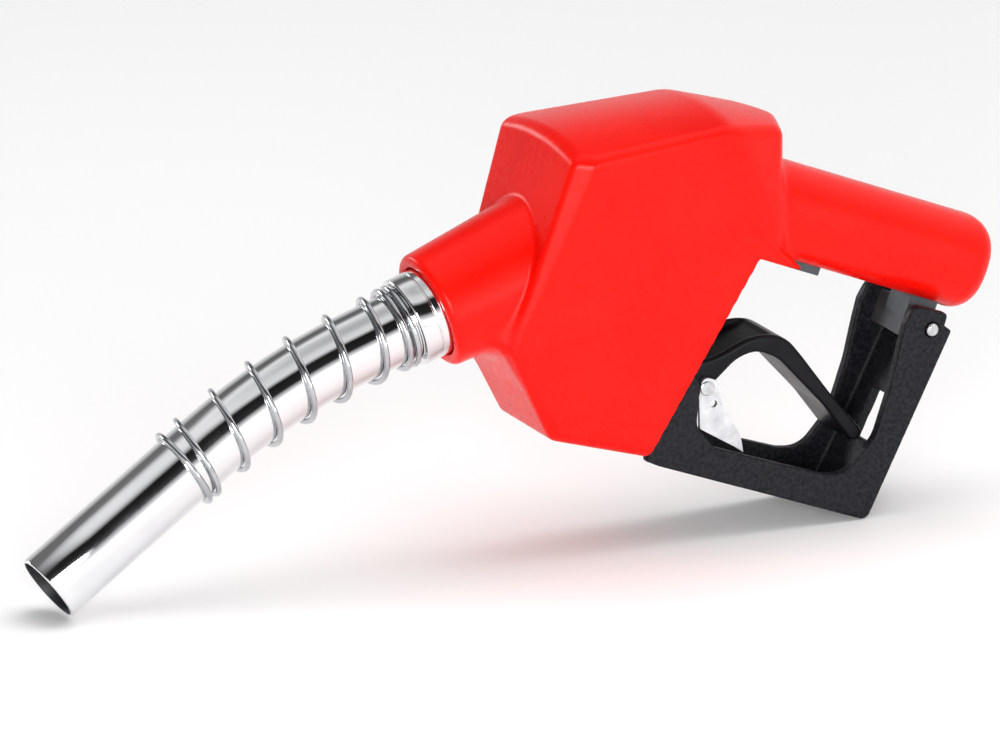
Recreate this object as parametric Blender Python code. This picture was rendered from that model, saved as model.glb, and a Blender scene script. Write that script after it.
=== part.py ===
"""Automatic shut-off fuel nozzle, modelled as an assembly of separate pieces.

Design frame, in millimetres: u runs rearwards along the handle, y to the far side and w up, square to
the handle, with the origin under the trip plunger.  STAND turns it into the attitude in which the
nozzle rests on its spout tip and on the heel of its lever guard, in metres, with +Z up.
"""
import math

import bmesh
import bpy
from mathutils import Matrix, Vector

# ---- driving dimensions, millimetres and degrees ------------------------------------------------

REST_TILT = 21.66           # the handle slopes down to the rear by this much at rest
REST_ORIGIN = (29.97, 0.0, 47.86) # puts the origin at the bottom centre of the whole box

SPOUT_OD = 24.0
SPOUT_WALL = 1.3
SPOUT_AXIS = (-70.0, 13.6)  # u and w where the spout's axis leaves the collar
SPOUT_SLOPE = 40.4          # of the spout's upper end, below the handle's axis
SPOUT_BEND = 16.5
SPOUT_BEND_RADIUS = 200.0
SPOUT_UPPER = 29.6          # straight length from the collar's lip to the bend
SPOUT_LOWER = 71.0          # straight length from the bend to the tip
SPOUT_INSERT = 14.0         # length held inside the adaptor
SPRING_WIRE = 2.0
SPRING_START = 10.4         # of the spring's first coil, from the collar's lip
SPRING_PITCHES = [(0.0, 2.6), (1.1, 2.6), (2.5, 14.4), (7.0, 14.4), (7.8, 3.0), (8.6, 3.0)]
SPRING_PHASE = -64.5        # degrees from +Y of the wire's first point
SPRING_STEPS = 12           # straight pieces in a turn

HANDLE_W = 79.4             # height of the handle's axis
HANDLE_HALF = (16.5, 15.9)  # half width and half height of the covered handle
HANDLE_END = 120.8
HANDLE_FULLNESS = 0.85      # exponent of the handle's section: 1 is an ellipse
CASTING_R = 13.6            # radius of the bare handle casting
INLET_BORE = 24.0           # minor diameter of the 3/4 inch pipe thread
INLET_FACE = 113.2

COVER_WALL = 2.2
HANDLE_WALL = 1.9
SKIRT_HALF = 21.3           # half width of the cover's lower skirt
COLLAR_LIP_R = 19.7
COLLAR_MOUTH_R = 16.2
COLLAR_FLARE = 3.5          # degrees
FERRULE = 9.0               # length of adaptor that shows in front of the collar
ADAPTOR_END = 30.0          # inner end of the adaptor, behind the collar's lip
NECK_FACE = 18.0            # the casting's outlet face, behind the collar's lip
SOCKET_R = 11.4             # bore that takes the adaptor
CHECK_BORE_R = 9.5
VENT_DROP = 7.0             # of the vent tube below the spout's centreline
CAGE_DROP = 3.8

PLUNGER_U = -20.0
PIVOT_W = 7.0               # height of the lever's pivot
PLUNGER_TOP = 66.5
BALL_W = 64.4               # height of the latch balls
BOLT_CIRCLE_R = 16.2        # of the diaphragm cap's screws
STEM_U = 11.0
STEM_FOOT = 9.0             # the stem's foot, just above the lever's web
SEAT_W = 60.0               # height of the main valve's seat
VALVE_HOUSING_R = 16.3
LEVER_HALF = 12.0
CHANNEL_HALF = 9.8
CLIP_PIVOT = (32.0, 16.5)

GUARD_HALF = 18.5           # half width over the guard's plates
GUARD_PLATE = 4.0
PAD_HALF = 14.2             # half width of the casting's pads between the guard's plates
GUARD_PIN = (103.4, 56.8)
GUARD_SCREW = (-24.0, 29.0)

GAP = 0.3                   # between pieces that touch
ROUNDING = 0.003            # points closer than this are one point
SMOOTH_ANGLE = 32           # degrees; sharper edges are shaded sharp

# Half spaces a*u + b*|y| + c*w <= d that trim the cover's upper housing out of a block.
HOUSING_PLANES = {
    "front": (-1.0, 0.0, -0.068, 48.0),
    "front corner": (-0.466, 0.885, -0.099, 41.1),
    "side": (0.1417, 1.0, -0.1118, 15.8),
    "boat tail": (0.393, 1.0, 0.157, 44.2),
    "rear": (0.9278, 0.364, 0.373, 68.0),
    "top": (-0.4526, 0.08, 1.0, 106.3),
    "rear top": (-0.10, 0.10, 1.0, 106.0),
    "front low": (-0.632, 0.0, -0.774, 22.3),
    "bottom": (0.111, 0.0, -0.994, 10.6),
}

# Colour, metallic and roughness.
FINISH = {
    "red_vinyl": ((0.80, 0.015, 0.008), 0.0, 0.28),
    "cast_aluminium": ((0.42, 0.44, 0.45), 0.9, 0.45),
    "polished_tube": ((0.80, 0.81, 0.82), 1.0, 0.10),
    "bright_wire": ((0.62, 0.63, 0.64), 1.0, 0.22),
    "black_guard": ((0.022, 0.024, 0.029), 0.0, 0.60),
    "black_lever": ((0.018, 0.018, 0.022), 0.0, 0.38),
    "zinc_plate": ((0.70, 0.72, 0.74), 0.9, 0.35),
    "steel": ((0.55, 0.56, 0.57), 1.0, 0.30),
    "brass": ((0.60, 0.42, 0.16), 1.0, 0.32),
    "rubber": ((0.02, 0.02, 0.02), 0.0, 0.80),
    "nylon": ((0.70, 0.68, 0.60), 0.0, 0.50),
}

STAND = (Matrix.Translation(Vector(REST_ORIGIN) * 0.001)
         @ Matrix.Rotation(math.radians(REST_TILT), 4, "Y")
         @ Matrix.Scale(0.001, 4))
UP = Vector((0, 0, 1))
REARWARD = Vector((1, 0, 0))
SIDEWAYS = Vector((0, 1, 0))
SPOUT_UP = Vector((math.cos(math.radians(SPOUT_SLOPE)), 0, math.sin(math.radians(SPOUT_SLOPE))))
SPOUT_BASE = Vector((SPOUT_AXIS[0], 0, SPOUT_AXIS[1]))


# ---- building blocks ----------------------------------------------------------------------------

def material(finish):
    found = bpy.data.materials.get(finish)
    if found:
        return found
    made = bpy.data.materials.new(finish)
    made.use_nodes = True
    shader = made.node_tree.nodes["Principled BSDF"]
    colour, metallic, roughness = FINISH[finish]
    shader.inputs["Base Color"].default_value = (*colour, 1)
    shader.inputs["Metallic"].default_value = metallic
    shader.inputs["Roughness"].default_value = roughness
    made.diffuse_color = (*colour, 1)
    return made


def solid(bm, name="tool", finish="steel", origin=(0, 0, 0)):
    """Make an object in the design frame from a bmesh, with the object's origin at origin."""
    origin = Vector(origin)
    bmesh.ops.recalc_face_normals(bm, faces=bm.faces)
    bmesh.ops.translate(bm, vec=-origin, verts=bm.verts)
    mesh = bpy.data.meshes.new(name)
    bm.to_mesh(mesh)
    bm.free()
    mesh.materials.append(material(finish))
    piece = bpy.data.objects.new(name, mesh)
    bpy.context.collection.objects.link(piece)
    piece.location = origin
    return piece


def stand(piece):
    """Move a finished piece from the design frame to the nozzle's attitude at rest, in metres."""
    piece.data.transform(Matrix.Scale(0.001, 4))
    piece.location = STAND @ piece.location
    piece.rotation_euler = (0, math.radians(REST_TILT), 0)
    piece.data.shade_smooth()
    piece.data.set_sharp_from_angle(angle=math.radians(SMOOTH_ANGLE))


def merge_slivers(bm):
    """Merge points that lie within the rounding of an exact cut, and drop edges of no length."""
    bmesh.ops.remove_doubles(bm, verts=bm.verts, dist=ROUNDING)
    bmesh.ops.dissolve_degenerate(bm, edges=bm.edges, dist=ROUNDING)
    return bm


def tidy(mesh):
    bm = bmesh.new()
    bm.from_mesh(mesh)
    merge_slivers(bm).to_mesh(mesh)
    bm.free()


def boolean(target, forms, operation):
    """Join or cut a piece with several bmeshes in one exact step."""
    tools = bpy.data.collections.new(operation)
    for form in forms:
        tool = solid(form)
        bpy.context.collection.objects.unlink(tool)
        tools.objects.link(tool)
    modifier = target.modifiers.new(operation, "BOOLEAN")
    modifier.operation = operation
    modifier.operand_type = "COLLECTION"
    modifier.collection = tools
    bpy.context.view_layer.update()
    depsgraph = bpy.context.evaluated_depsgraph_get()
    result = bpy.data.meshes.new_from_object(target.evaluated_get(depsgraph))
    target.modifiers.clear()
    target.data = result
    tidy(result)
    for tool in list(tools.objects):
        bpy.data.objects.remove(tool)
    bpy.data.collections.remove(tools)
    return target


def join(target, *forms):
    return boolean(target, forms, "UNION")


def cut(target, *forms):
    return boolean(target, forms, "DIFFERENCE")


def skin(bm, rings, closed=False):
    """Bridge equal rings of points; cap both ends, or close the row of rings on itself."""
    rows = [[bm.verts.new(point) for point in ring] for ring in rings]
    count = len(rows[0])
    pairs = list(zip(rows, rows[1:]))
    if closed:
        pairs.append((rows[-1], rows[0]))
    for low, high in pairs:
        for i in range(count):
            j = (i + 1) % count
            bm.faces.new((low[i], low[j], high[j], high[i]))
    if not closed:
        bm.faces.new(rows[0])
        bm.faces.new(rows[-1])
    return bm


def circle(centre, axis, radius, count, across=SIDEWAYS, phase=0.0):
    """Points of a circle; across is a direction that is not along the axis."""
    axis = Vector(axis).normalized()
    first = axis.cross(across if abs(axis.dot(across)) < 0.99 else UP).normalized()
    second = axis.cross(first)
    turns = [2 * math.pi * i / count + phase for i in range(count)]
    return [Vector(centre) + radius * (math.cos(a) * first + math.sin(a) * second) for a in turns]


def turned(profile, axis, origin=(0, 0, 0), count=32, phase=0.0):
    """Revolve (radius, distance along axis) points.  Radius 0 at both ends makes a solid piece."""
    axis = Vector(axis).normalized()
    origin = Vector(origin)
    bm = bmesh.new()
    if profile[0][0] > 0:
        rings = [circle(origin + axis * t, axis, r, count, phase=phase) for r, t in profile]
        return skin(bm, rings, closed=True)
    rings = [circle(origin + axis * t, axis, r, count, phase=phase) for r, t in profile[1:-1]]
    skin(bm, rings, closed=False)
    return bm


def rod(radius, axis, start, length, count=32, chamfer=0.0, phase=0.0):
    """A cylinder from start along axis, with optional chamfered ends."""
    if chamfer == 0:
        return turned([(0, 0), (radius, 0), (radius, length), (0, length)], axis, start, count, phase)
    profile = [(0, 0), (radius - chamfer, 0), (radius, chamfer), (radius, length - chamfer),
               (radius - chamfer, length), (0, length)]
    return turned(profile, axis, start, count, phase)


def washer(outer, inner, axis, start, length, count=32):
    return turned([(inner, 0), (outer, 0), (outer, length), (inner, length)], axis, start, count)


def seal_ring(mean, section, axis, centre, count=18, sides=6):
    """A round-section ring."""
    turns = [2 * math.pi * i / sides for i in range(sides)]
    profile = [(mean + section * math.cos(a), section * math.sin(a)) for a in turns]
    return turned(profile, axis, centre, count)


def fillet(corners, steps=4):
    """Replace each (u, w, radius) corner of an outline by an arc; (u, w) corners stay sharp."""
    outline = []
    for i, corner in enumerate(corners):
        here = Vector(corner[:2])
        if len(corner) == 2:
            outline.append(here)
            continue
        before = (Vector(corners[i - 1][:2]) - here).normalized()
        after = (Vector(corners[(i + 1) % len(corners)][:2]) - here).normalized()
        half = before.angle(after) / 2
        reach = corner[2] / math.tan(half)
        centre = here + (before + after).normalized() * corner[2] / math.sin(half)
        start = here + before * reach - centre
        turn = start.angle_signed(here + after * reach - centre)
        for k in range(steps + 1):
            outline.append(centre + start @ Matrix.Rotation(turn * k / steps, 2))
    return outline


def plate(corners, y_low, y_high, steps=4):
    """Extrude a side-view outline across the nozzle."""
    outline = fillet(corners, steps)
    rings = [[Vector((p[0], y, p[1])) for p in outline] for y in (y_low, y_high)]
    return skin(bmesh.new(), rings)


def box(u, y, w):
    return plate([(u[0], w[0]), (u[1], w[0]), (u[1], w[1]), (u[0], w[1])], *y)


def trimmed_block(planes, inset):
    """A block cut down to the half spaces, each moved inwards by inset."""
    bm = bmesh.new()
    bmesh.ops.create_cube(bm, size=400)
    for a, b, c, d in planes.values():
        for side in ((1, -1) if b else (1,)):
            normal = Vector((a, b * side, c))
            point = normal * (d / normal.length_squared - inset / normal.length)
            geometry = bm.verts[:] + bm.edges[:] + bm.faces[:]
            made = bmesh.ops.bisect_plane(bm, geom=geometry, plane_co=point, plane_no=normal,
                                          clear_outer=True)
            rim = [e for e in made["geom_cut"] if isinstance(e, bmesh.types.BMEdge)]
            bmesh.ops.edgeloop_fill(bm, edges=rim)
    return merge_slivers(bm)


def soften(bm, width, segments=2):
    """Bevel every edge of a block."""
    bmesh.ops.bevel(bm, geom=bm.edges[:], offset=width, segments=segments, affect="EDGES",
                    profile=0.5, clamp_overlap=True)
    return merge_slivers(bm)


# ---- the spout's centreline ---------------------------------------------------------------------

def spout_point(s):
    """Point and direction on the centreline, s millimetres down the spout from the collar's lip."""
    down = -SPOUT_UP
    if s <= SPOUT_UPPER:
        return SPOUT_BASE + down * s, down
    arc = math.radians(SPOUT_BEND) * SPOUT_BEND_RADIUS
    angle = min(s - SPOUT_UPPER, arc) / SPOUT_BEND_RADIUS
    inward = down.cross(SIDEWAYS)
    if inward.z > 0:
        inward = -inward
    start = SPOUT_BASE + down * SPOUT_UPPER
    heading = down * math.cos(angle) + inward * math.sin(angle)
    chord = down * math.sin(angle) + inward * (1 - math.cos(angle))
    return start + chord * SPOUT_BEND_RADIUS + heading * max(0, s - SPOUT_UPPER - arc), heading


SPOUT_TIP = SPOUT_UPPER + math.radians(SPOUT_BEND) * SPOUT_BEND_RADIUS + SPOUT_LOWER


def spout_stations(first, last, bend_steps=6):
    """Distances for a sweep along the spout: dense in the bend, none needed in the straights."""
    arc = SPOUT_TIP - SPOUT_LOWER - SPOUT_UPPER
    bend = [SPOUT_UPPER + arc * k / bend_steps for k in range(bend_steps + 1)]
    return [first, *[s for s in bend if first < s < last], last]


def spout_ring(s, radius, count, drop=0.0):
    """Ring round the centreline, or round a line that lies drop below it."""
    centre, heading = spout_point(s)
    below = heading.cross(SIDEWAYS)
    if below.z > 0:
        below = -below
    return circle(centre + below * drop, heading, radius, count)


def spout_sweep(first, last, outer, inner, count, drop=0.0):
    stations = spout_stations(first, last)
    rings = [spout_ring(s, outer, count, drop) for s in stations]
    rings += [spout_ring(s, inner, count, drop) for s in reversed(stations)]
    return skin(bmesh.new(), rings, closed=True)


# ---- springs ------------------------------------------------------------------------------------

def wire(points, radius, sides=6, across=SIDEWAYS):
    """Sweep a round wire along a list of points."""
    rings = []
    side = None
    for i, point in enumerate(points):
        ahead = points[min(i + 1, len(points) - 1)] - points[max(i - 1, 0)]
        ahead.normalize()
        if side is None:
            side = ahead.cross(across).normalized()
        side = (side - ahead * side.dot(ahead)).normalized()
        other = ahead.cross(side)
        turns = [2 * math.pi * k / sides for k in range(sides)]
        rings.append([point + radius * (math.cos(a) * side + math.sin(a) * other) for a in turns])
    return skin(bmesh.new(), rings)


def coil_spring(axis, start, length, mean, thickness, turns, per_turn=8, dead=0.6, sides=4):
    """A compression spring with nearly closed end coils."""
    axis = Vector(axis).normalized()
    first = axis.cross(SIDEWAYS if abs(axis.dot(SIDEWAYS)) < 0.99 else UP).normalized()
    second = axis.cross(first)
    start = Vector(start)
    free = length - thickness - 2 * dead * (thickness + 0.3)
    steps = int(turns * per_turn)
    points = []
    for k in range(steps + 1):
        turn = turns * k / steps
        ends = min(turn, dead) + max(0, turn - (turns - dead))
        middle = max(0, min(turn - dead, turns - 2 * dead)) / (turns - 2 * dead)
        height = thickness / 2 + ends * (thickness + 0.3) + middle * free
        angle = 2 * math.pi * turn
        around = math.cos(angle) * first + math.sin(angle) * second
        points.append(start + axis * height + mean * around)
    return wire(points, thickness / 2, sides)


# ---- casting and cover --------------------------------------------------------------------------

def diaphragm_bolts():
    """Centres of the diaphragm cap's four screws."""
    angles = [math.radians(45 + 90 * k) for k in range(4)]
    return [(PLUNGER_U + BOLT_CIRCLE_R * math.cos(a), BOLT_CIRCLE_R * math.sin(a)) for a in angles]


def body_casting():
    """One aluminium casting: handle tube, two upright housings, outlet neck, guard pads and lug."""
    inlet_axis = (STEM_U, 0, HANDLE_W)
    casting = solid(rod(CASTING_R, REARWARD, inlet_axis, INLET_FACE - STEM_U, 28), "body_casting",
                    "cast_aluminium")
    valve_housing = rod(VALVE_HOUSING_R, UP, (STEM_U, 0, 41), 52, 28)
    packing_boss = rod(9, UP, (STEM_U, 0, 33.5), 14, 20)
    diaphragm_housing = rod(19, UP, (PLUNGER_U, 0, 55), 19, 28)
    bridge = box((PLUNGER_U, STEM_U), (-13.7, 13.7), (58, 72))
    passage = rod(13, REARWARD, (PLUNGER_U - 4, 0, 52), 33, 20)
    outlet_neck = rod(13.4, SPOUT_UP, SPOUT_BASE + SPOUT_UP * NECK_FACE, 46, 28)
    guard_pads = box((-32.6, -12.3), (-PAD_HALF, PAD_HALF), (21.8, 41.4))
    under_rib = box((14.5, 62), (-6.2, 6.2), (61.9, 73))
    lug_neck = box((98.5, 109), (-6.8, 6.8), (57, 73))
    lug = box((99.2, 109), (-PAD_HALF, PAD_HALF), (50.5, 61.5))
    join(casting, valve_housing, packing_boss, diaphragm_housing, bridge, passage, outlet_neck,
         guard_pads, under_rib, lug_neck, lug)

    fuel_way = (
        rod(9.5, REARWARD, inlet_axis, 120, 20),
        rod(INLET_BORE / 2, REARWARD, (98, 0, HANDLE_W), 30, 28),
        rod(13.5, UP, (STEM_U, 0, SEAT_W), 40, 24),
        rod(12, UP, (STEM_U, 0, 45), 11, 24),
        rod(8.5, UP, (STEM_U, 0, 50), 20, 20),
        rod(8.6, REARWARD, (PLUNGER_U - 6, 0, 50), 32, 20),
        rod(CHECK_BORE_R, SPOUT_UP, SPOUT_BASE + SPOUT_UP * 10, 53, 24),
        rod(SOCKET_R, SPOUT_UP, SPOUT_BASE + SPOUT_UP * 10, ADAPTOR_END - 9.5, 24),
    )
    stem_bores = (rod(3.4, UP, (STEM_U, 0, 30), 20, 14), rod(6.2, UP, (STEM_U, 0, 30), 9.8, 18))
    diaphragm_seat = (rod(13.8, UP, (PLUNGER_U, 0, 67.7), 20, 28),
                      rod(11.0, UP, (PLUNGER_U, 0, 63), 20, 24))
    cut(casting, *fuel_way, *stem_bores, *diaphragm_seat)

    # the plunger's sleeve stands in the cross passage and carries the spring's recess below it
    join(casting, rod(7.5, UP, (PLUNGER_U, 0, 30), 31.5, 20, phase=0.11),
         rod(9.6, UP, (PLUNGER_U, 0, 13), 20, 24, phase=0.05))
    plunger_bores = (rod(4.6, UP, (PLUNGER_U, 0, 10), 60, 16), rod(7.3, UP, (PLUNGER_U, 0, 10), 21, 20))
    pin_hole = rod(2.5, SIDEWAYS, (GUARD_PIN[0], -20, GUARD_PIN[1]), 40, 16)
    screw_holes = [rod(1.8, SIDEWAYS * side, (GUARD_SCREW[0], side * 8.0, GUARD_SCREW[1]), 12, 10)
                   for side in (-1, 1)]
    bolt_holes = [rod(1.2, UP, (u, y, 67), 12, 8) for u, y in diaphragm_bolts()]
    cut(casting, *plunger_bores, pin_hole, *screw_holes, *bolt_holes)


def handle_section(u, narrower, count=24):
    """Rounded section of the handle, fuller than an ellipse."""
    ring = []
    for k in range(count):
        a = 2 * math.pi * k / count
        y = math.copysign(abs(math.cos(a)) ** HANDLE_FULLNESS, math.cos(a))
        w = math.copysign(abs(math.sin(a)) ** HANDLE_FULLNESS, math.sin(a))
        half_width, half_height = (half - narrower for half in HANDLE_HALF)
        ring.append(Vector((u, y * half_width, HANDLE_W + w * half_height)))
    return ring


def handle_form(first, last, inset, nose):
    """Solid handle from first to last; nose is the radius that rounds its rear end."""
    rings = [handle_section(first, inset)]
    for k in range(5):
        a = math.pi / 2 * k / 4
        rings.append(handle_section(last - nose * (1 - math.sin(a)), inset + nose * (1 - math.cos(a))))
    return skin(bmesh.new(), rings)


def skirt_form(inset):
    """Parallel-sided lower part of the cover, over the guard's front and the lever's fork."""
    half = SKIRT_HALF - inset
    front = [(-52 + inset, 12 + inset, 3), (-35, -0.6 + 1.3 * inset), (-20.5, -13.9 + 1.2 * inset, 5)]
    rear = [(16 + inset, -10.4 + inset), (30.2 + inset, 64.4), (10, 80), (-40, 70), (-48, 40)]
    return plate(front + rear, -half, half)


def collar_form(rounding=2.2, length=46.0):
    """Round collar, flared towards the housing, with a rounded lip."""
    flared = COLLAR_LIP_R + length * math.tan(math.radians(COLLAR_FLARE))
    profile = [(0, 0), (COLLAR_LIP_R - rounding, 0), (COLLAR_LIP_R - 0.6, 0.7),
               (COLLAR_LIP_R, rounding), (flared, length), (0, length)]
    return turned(profile, SPOUT_UP, SPOUT_BASE, 32)


def body_cover():
    """Vinyl cover in one piece: housing, skirt, collar and handle, hollow, open where it has to be."""
    cover = solid(soften(trimmed_block(HOUSING_PLANES, 0), 3.0), "body_cover", "red_vinyl")
    join(cover, skirt_form(0), collar_form(), handle_form(6, HANDLE_END, 0, 9))
    behind_skirt = [(16, -20), (16, -10.4), (30.2, 63.6), (130, 63.6), (130, -20)]
    cut(
        cover,
        trimmed_block(HOUSING_PLANES, COVER_WALL),
        skirt_form(COVER_WALL),
        handle_form(0, HANDLE_END - 4.5, HANDLE_WALL, 4),
        rod(INLET_BORE / 2 + 0.6, REARWARD, (100, 0, HANDLE_W), 40, 28),
        rod(COLLAR_MOUTH_R, SPOUT_UP, SPOUT_BASE - SPOUT_UP * 5, 50, 32),
        plate(behind_skirt, -40, 40),
        box((18, 111), (-7.8, 7.8), (56, 70)),
    )


# ---- main valve ---------------------------------------------------------------------------------

def main_valve():
    """Poppet over the seat, its spring and screwed cap, and the stem that lifts it."""
    seat = (STEM_U, 0, SEAT_W)
    solid(washer(11.5, 3.4, UP, (STEM_U, 0, SEAT_W + GAP), 1.6, 24), "poppet_seal", "rubber", seat)
    poppet = [(0, 2.2), (11.8, 2.2), (11.8, 4.4), (9.5, 5.6), (3.2, 5.6), (3.2, 27.2), (2.4, 28),
              (0, 28)]
    solid(turned(poppet, UP, seat, 24), "main_poppet", "brass", seat)
    spring_start = (STEM_U, 0, SEAT_W + 5.9)
    solid(coil_spring(UP, spring_start, 22.3, 5.6, 1.3, 6), "poppet_spring", "bright_wire",
          spring_start)

    cap = [(3.6, 24.8), (4.5, 24.8), (4.5, 28.5), (13.2, 28.5), (13.2, 30.2), (11.4, 30.2), (11.4, 32.2), (13.2, 32.2),
           (13.2, 33.3), (16.2, 33.3), (16.2, 36.3), (3.6, 36.3)]
    cap_piece = solid(turned(cap, UP, seat, 24), "poppet_cap", "brass", seat)
    join(cap_piece, rod(9.4, UP, (STEM_U, 0, SEAT_W + 35.5), 3.3, 6))
    cut(cap_piece, rod(3.6, UP, (STEM_U, 0, SEAT_W + 24), 13.6, 24))
    ring_centre = (STEM_U, 0, SEAT_W + 31.2)
    solid(seal_ring(12.4, 0.8, UP, ring_centre), "poppet_cap_ring", "rubber", ring_centre)

    stem = [(0, STEM_FOOT), (2.2, STEM_FOOT), (3.0, STEM_FOOT + 1), (3.0, SEAT_W + 1.9),
            (0, SEAT_W + 1.9)]
    foot = (STEM_U, 0, STEM_FOOT)
    solid(turned(stem, UP, (STEM_U, 0, 0), 16), "valve_stem", "steel", foot)
    nut = solid(rod(7.8, UP, (STEM_U, 0, 24), 9.2, 6), "packing_nut", "brass", (STEM_U, 0, 24))
    join(nut, rod(5.9, UP, (STEM_U, 0, 32), 6, 18))
    cut(nut, rod(3.4, UP, (STEM_U, 0, 20), 30, 14))
    packing = (STEM_U, 0, 38.3)
    solid(washer(5.9, 3.3, UP, packing, 1.2, 18), "stem_packing", "rubber", packing)


# ---- automatic shut-off -------------------------------------------------------------------------

def trip_mechanism():
    """Plunger that carries the lever, its spring and gland, and the ball latch that holds it."""
    pivot = (PLUNGER_U, 0, PIVOT_W)
    plunger = solid(rod(4.2, UP, (PLUNGER_U, 0, PIVOT_W + 1), PLUNGER_TOP - PIVOT_W - 1, 16),
                    "trip_plunger", "steel", pivot)
    join(plunger, rod(6.8, UP, (PLUNGER_U, 0, 28), 2.2, 20))
    join(plunger, rod(5.2, SIDEWAYS, (PLUNGER_U, -6, PIVOT_W), 12, 20))
    cut(plunger, rod(2.3, SIDEWAYS, (PLUNGER_U, -10, PIVOT_W), 20, 14))
    cut(plunger, rod(2.0, UP, (PLUNGER_U, 0, 57), 20, 12))
    for k in range(3):
        outward = Vector((math.cos(k * 2 * math.pi / 3), math.sin(k * 2 * math.pi / 3), 0))
        centre = Vector((PLUNGER_U, 0, BALL_W)) + outward * 3.0
        cut(plunger, rod(1.6, outward, Vector((PLUNGER_U, 0, BALL_W)) + outward, 6, 10))
        ball = bmesh.new()
        bmesh.ops.create_uvsphere(ball, u_segments=10, v_segments=6, radius=1.35)
        bmesh.ops.translate(ball, verts=ball.verts, vec=centre)
        solid(ball, f"latch_ball_{k + 1}", "steel", centre)
    solid(rod(2.0, SIDEWAYS, (PLUNGER_U, -13.6, PIVOT_W), 27.2, 16, 0.4), "lever_pivot_pin", "steel",
          pivot)
    gland = (PLUNGER_U, 0, 13.4)
    solid(washer(7.0, 4.6, UP, gland, 3.0, 20), "plunger_gland", "brass", gland)
    spring_start = (PLUNGER_U, 0, 16.7)
    solid(coil_spring(UP, spring_start, 11.0, 5.6, 1.0, 4), "plunger_spring", "bright_wire",
          spring_start)
    latch_seat = (PLUNGER_U, 0, 63.3)
    solid(washer(8.6, 5.2, UP, latch_seat, 2.4, 20), "latch_ring", "steel", latch_seat)
    pin_foot = (PLUNGER_U, 0, 59.5)
    solid(rod(1.4, UP, pin_foot, 6.6, 12, 0.3), "latch_pin", "steel", pin_foot)


def diaphragm_group():
    """Diaphragm clamped under its cap, with the cap's spring and four screws."""
    rim = (PLUNGER_U, 0, 68.0)
    profile = [(0, 0), (13.5, 0), (13.5, 1.2), (10.9, 1.2), (9.8, 2.2), (8.7, 1.2), (4.5, 1.2),
               (4.5, 2.8), (0, 2.8)]
    solid(turned(profile, UP, rim, 24), "diaphragm", "rubber", rim)
    cap = [(0, 81), (10.4, 81), (11, 80.4), (11, 77), (19, 77), (19, 74.3), (13.4, 74.3),
           (13.4, 69.5), (11.6, 69.5), (11.6, 75), (9, 75), (9, 79.2), (0, 79.2)]
    piece = solid(turned(cap, UP, (PLUNGER_U, 0, 0), 28), "diaphragm_cap", "cast_aluminium",
                  (PLUNGER_U, 0, 74.3))
    beside_valve = STEM_U - VALVE_HOUSING_R - 0.5
    cut(piece, box((beside_valve, beside_valve + 9), (-30, 30), (60, 95)))
    for k, (u, y) in enumerate(diaphragm_bolts()):
        cut(piece, rod(1.2, UP, (u, y, 70), 10, 8))
        screw = [(0, 69), (0.9, 69), (0.9, 77.3), (1.9, 77.3), (1.9, 78.6), (1.4, 79), (0, 79)]
        solid(turned(screw, UP, (u, y, 0), 10), f"diaphragm_screw_{k + 1}", "steel", (u, y, 77.3))
    spring_start = (PLUNGER_U, 0, 71.1)
    solid(coil_spring(UP, spring_start, 7.8, 6.4, 0.9, 3.5), "diaphragm_spring", "bright_wire",
          spring_start)


# ---- outlet and spout ---------------------------------------------------------------------------

def on_spout_axis(height, drop=0.0):
    """Point on the axis of the spout's upper end, height above the collar's lip."""
    below = SPOUT_UP.cross(SIDEWAYS)
    below = below if below.z < 0 else -below
    return SPOUT_BASE + SPOUT_UP * height + below * drop


def outlet_group():
    """Adaptor that holds the spout in the casting, with its seal, and the check valve above it."""
    profile = [(12.35, -FERRULE), (14.8, -FERRULE), (15.25, 0.5 - FERRULE), (15.25, NECK_FACE - GAP),
               (11.1, NECK_FACE - GAP), (11.1, 22.0), (9.9, 22.0), (9.9, 24.4), (11.1, 24.4),
               (11.1, ADAPTOR_END), (4.0, ADAPTOR_END), (4.0, ADAPTOR_END - 2),
               (8.5, ADAPTOR_END - 2), (8.5, SPOUT_INSERT + GAP),
               (12.35, SPOUT_INSERT + GAP)]
    adaptor = solid(turned(profile, SPOUT_UP, SPOUT_BASE, 28), "spout_adaptor", "polished_tube",
                    SPOUT_BASE)
    across = SPOUT_UP.cross(SIDEWAYS)
    across = across if across.z > 0 else -across
    screw_centre = on_spout_axis(8.0)
    cut(adaptor, rod(1.9, across, screw_centre + across * 10, 10, 12))
    solid(rod(1.6, across, screw_centre + across * 12.4, 2.5, 12, 0.3), "spout_set_screw", "steel",
          screw_centre + across * 12.4)
    ring_centre = on_spout_axis(23.2)
    solid(seal_ring(10.65, 0.6, SPOUT_UP, ring_centre), "adaptor_ring", "rubber", ring_centre)

    seat = on_spout_axis(41.5)
    solid(washer(9.2, 5.5, SPOUT_UP, seat, 2.5, 20), "check_seat", "brass", seat)
    poppet = [(0, 31), (1.6, 31), (1.6, 38.8), (7.4, 38.8), (7.4, 41.2), (5.1, 41.3), (4.4, 43.1),
              (0, 43.1)]
    solid(turned(poppet, SPOUT_UP, SPOUT_BASE, 20), "check_poppet", "nylon", on_spout_axis(38.8))
    spring_start = on_spout_axis(ADAPTOR_END + GAP)
    solid(coil_spring(SPOUT_UP, spring_start, 8.2, 6.0, 0.9, 4), "check_spring", "bright_wire",
          spring_start)


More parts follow.
